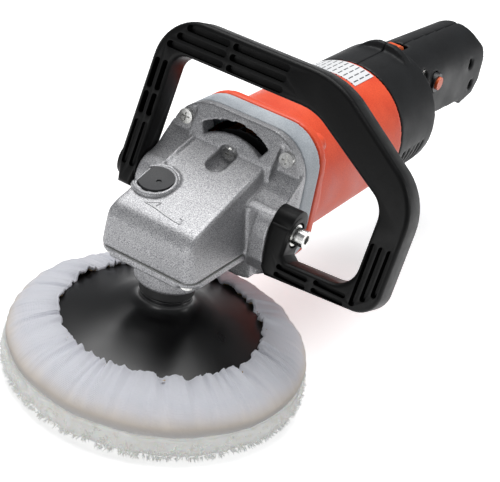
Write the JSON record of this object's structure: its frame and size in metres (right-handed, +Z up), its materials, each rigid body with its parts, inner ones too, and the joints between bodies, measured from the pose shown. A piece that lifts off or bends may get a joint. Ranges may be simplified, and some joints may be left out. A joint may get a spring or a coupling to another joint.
{
  "type": "rotary polisher",
  "caption": "Hand-held rotary polisher: bevel gear head with a tied-on wool bonnet, loop front handle, round motor housing and a straight rear grip with trigger.",
  "frame": {"origin": "on the spindle axis at the wool bonnet's flat working face", "axes": "+Z up the spindle axis, away from the work; +Y back along the motor axis towards the rear grip; +X to the side that carries the loop handle's lower arm"},
  "size_m": [0.231, 0.494, 0.2134],
  "materials": {
    "wool": "long wool pile",
    "bonnet_cloth": "woven cotton",
    "drawcord": "twisted cotton",
    "pad_rubber": "satin moulded",
    "seal_rubber": "matte",
    "cast_aluminium": "blasted and silver painted casting",
    "machined_steel": "turned and ground",
    "gear_steel": "hardened, greased",
    "bearing_steel": "ground and polished",
    "bronze": "sintered",
    "zinc_steel": "zinc plated",
    "gasket_paper": "pressed fibre",
    "black_oxide": "satin black",
    "spring_steel": "drawn wire",
    "grey_nylon": "fine moulded",
    "orange_nylon": "fine moulded",
    "label_film": "satin film",
    "lamination_steel": "stamped sheets, varnished",
    "copper_wire": "enamelled wire",
    "fan_nylon": "moulded",
    "carbon": "pressed carbon",
    "black_nylon": "fine moulded",
    "handle_nylon": "glass-filled, semi gloss",
    "control_orange": "moulded",
    "circuit_board": "potted board"
  },
  "bodies": {
    "machine": {"bearing_cover": "cast_aluminium", "cover_screws": "zinc_steel", "gasket": "gasket_paper", "gear_housing": "cast_aluminium", "lower_bearing": "bearing_steel", "top_bush": "bronze", "lock_spring": "spring_steel", "flange_screws": "zinc_steel", "channel_screw": "zinc_steel", "bearing_retainer": "machined_steel", "front_bearing": "bearing_steel", "air_ring": "grey_nylon", "motor_housing": "orange_nylon", "rating_label": "label_film", "stator_core": "lamination_steel", "field_coils": "copper_wire", "rear_bearing": "bearing_steel", "brush_holders": "bronze", "carbon_brushes": "carbon", "brush_caps": "black_nylon", "left_shell": "black_nylon", "right_shell": "black_nylon", "shell_screws": "zinc_steel", "speed_module": "circuit_board", "switch_body": "black_nylon", "trigger_spring": "spring_steel", "lock_on_collar": "black_nylon", "cord_inlet": "seal_rubber", "handle_bolts": "zinc_steel", "bolt_washers": "zinc_steel"},
    "spindle_group": {"wool_pile": "wool", "bonnet_skirt": "bonnet_cloth", "hem_cord": "drawcord", "backing_pad": "pad_rubber", "hub_nut": "machined_steel", "dust_ring": "seal_rubber", "spindle": "machined_steel", "crown_gear": "gear_steel", "gear_circlip": "machined_steel"},
    "armature_group": {"armature_shaft": "machined_steel", "pinion": "gear_steel", "fan": "fan_nylon", "armature_core": "lamination_steel", "armature_windings": "copper_wire", "commutator": "copper_wire"},
    "lock_pin_group": {"lock_button": "black_oxide"},
    "handle_group": {"loop_handle": "handle_nylon"},
    "dial_group": {"speed_dial": "control_orange"},
    "trigger_group": {"trigger": "black_nylon"},
    "lock_on_group": {"lock_on_button": "control_orange"}
  },
  "joints": [
    {"name": "spindle_spin", "type": "hinge", "parent": "machine", "child": "spindle_group", "pos_m": [0, 0, 0.1], "axis": [0, 0, 1], "continuous": true},
    {"name": "armature_spin", "type": "hinge", "parent": "machine", "child": "armature_group", "pos_m": [0, 0.12, 0.112], "axis": [0, 1, 0], "continuous": true},
    {"name": "spindle_lock", "type": "slide", "parent": "machine", "child": "lock_pin_group", "axis": [0, 0, -1], "range_m": [0, 0.005], "stiffness_N_per_m": 600, "springref_m": -0.004, "deforming": ["lock_spring"]},
    {"name": "handle_tilt", "type": "hinge", "parent": "machine", "child": "handle_group", "pos_m": [0, 0.033, 0.1155], "axis": [1, 0, 0], "range_deg": [-22, 38]},
    {"name": "speed_dial_turn", "type": "hinge", "parent": "machine", "child": "dial_group", "pos_m": [0, 0.266, 0.1492], "axis": [1, 0, 0], "range_deg": [-140, 140]},
    {"name": "trigger_pull", "type": "slide", "parent": "machine", "child": "trigger_group", "axis": [0, 0, 1], "range_m": [0, 0.006], "stiffness_N_per_m": 900, "springref_m": -0.004, "deforming": ["trigger_spring"]},
    {"name": "lock_on_press", "type": "slide", "parent": "machine", "child": "lock_on_group", "axis": [-1, 0, 0], "range_m": [0, 0.003], "stiffness_N_per_m": 400, "springref_m": -0.003}
  ],
  "couplings": [
    {"joint": "armature_spin", "follows": "spindle_spin", "ratio": 4.1111}
  ]
}
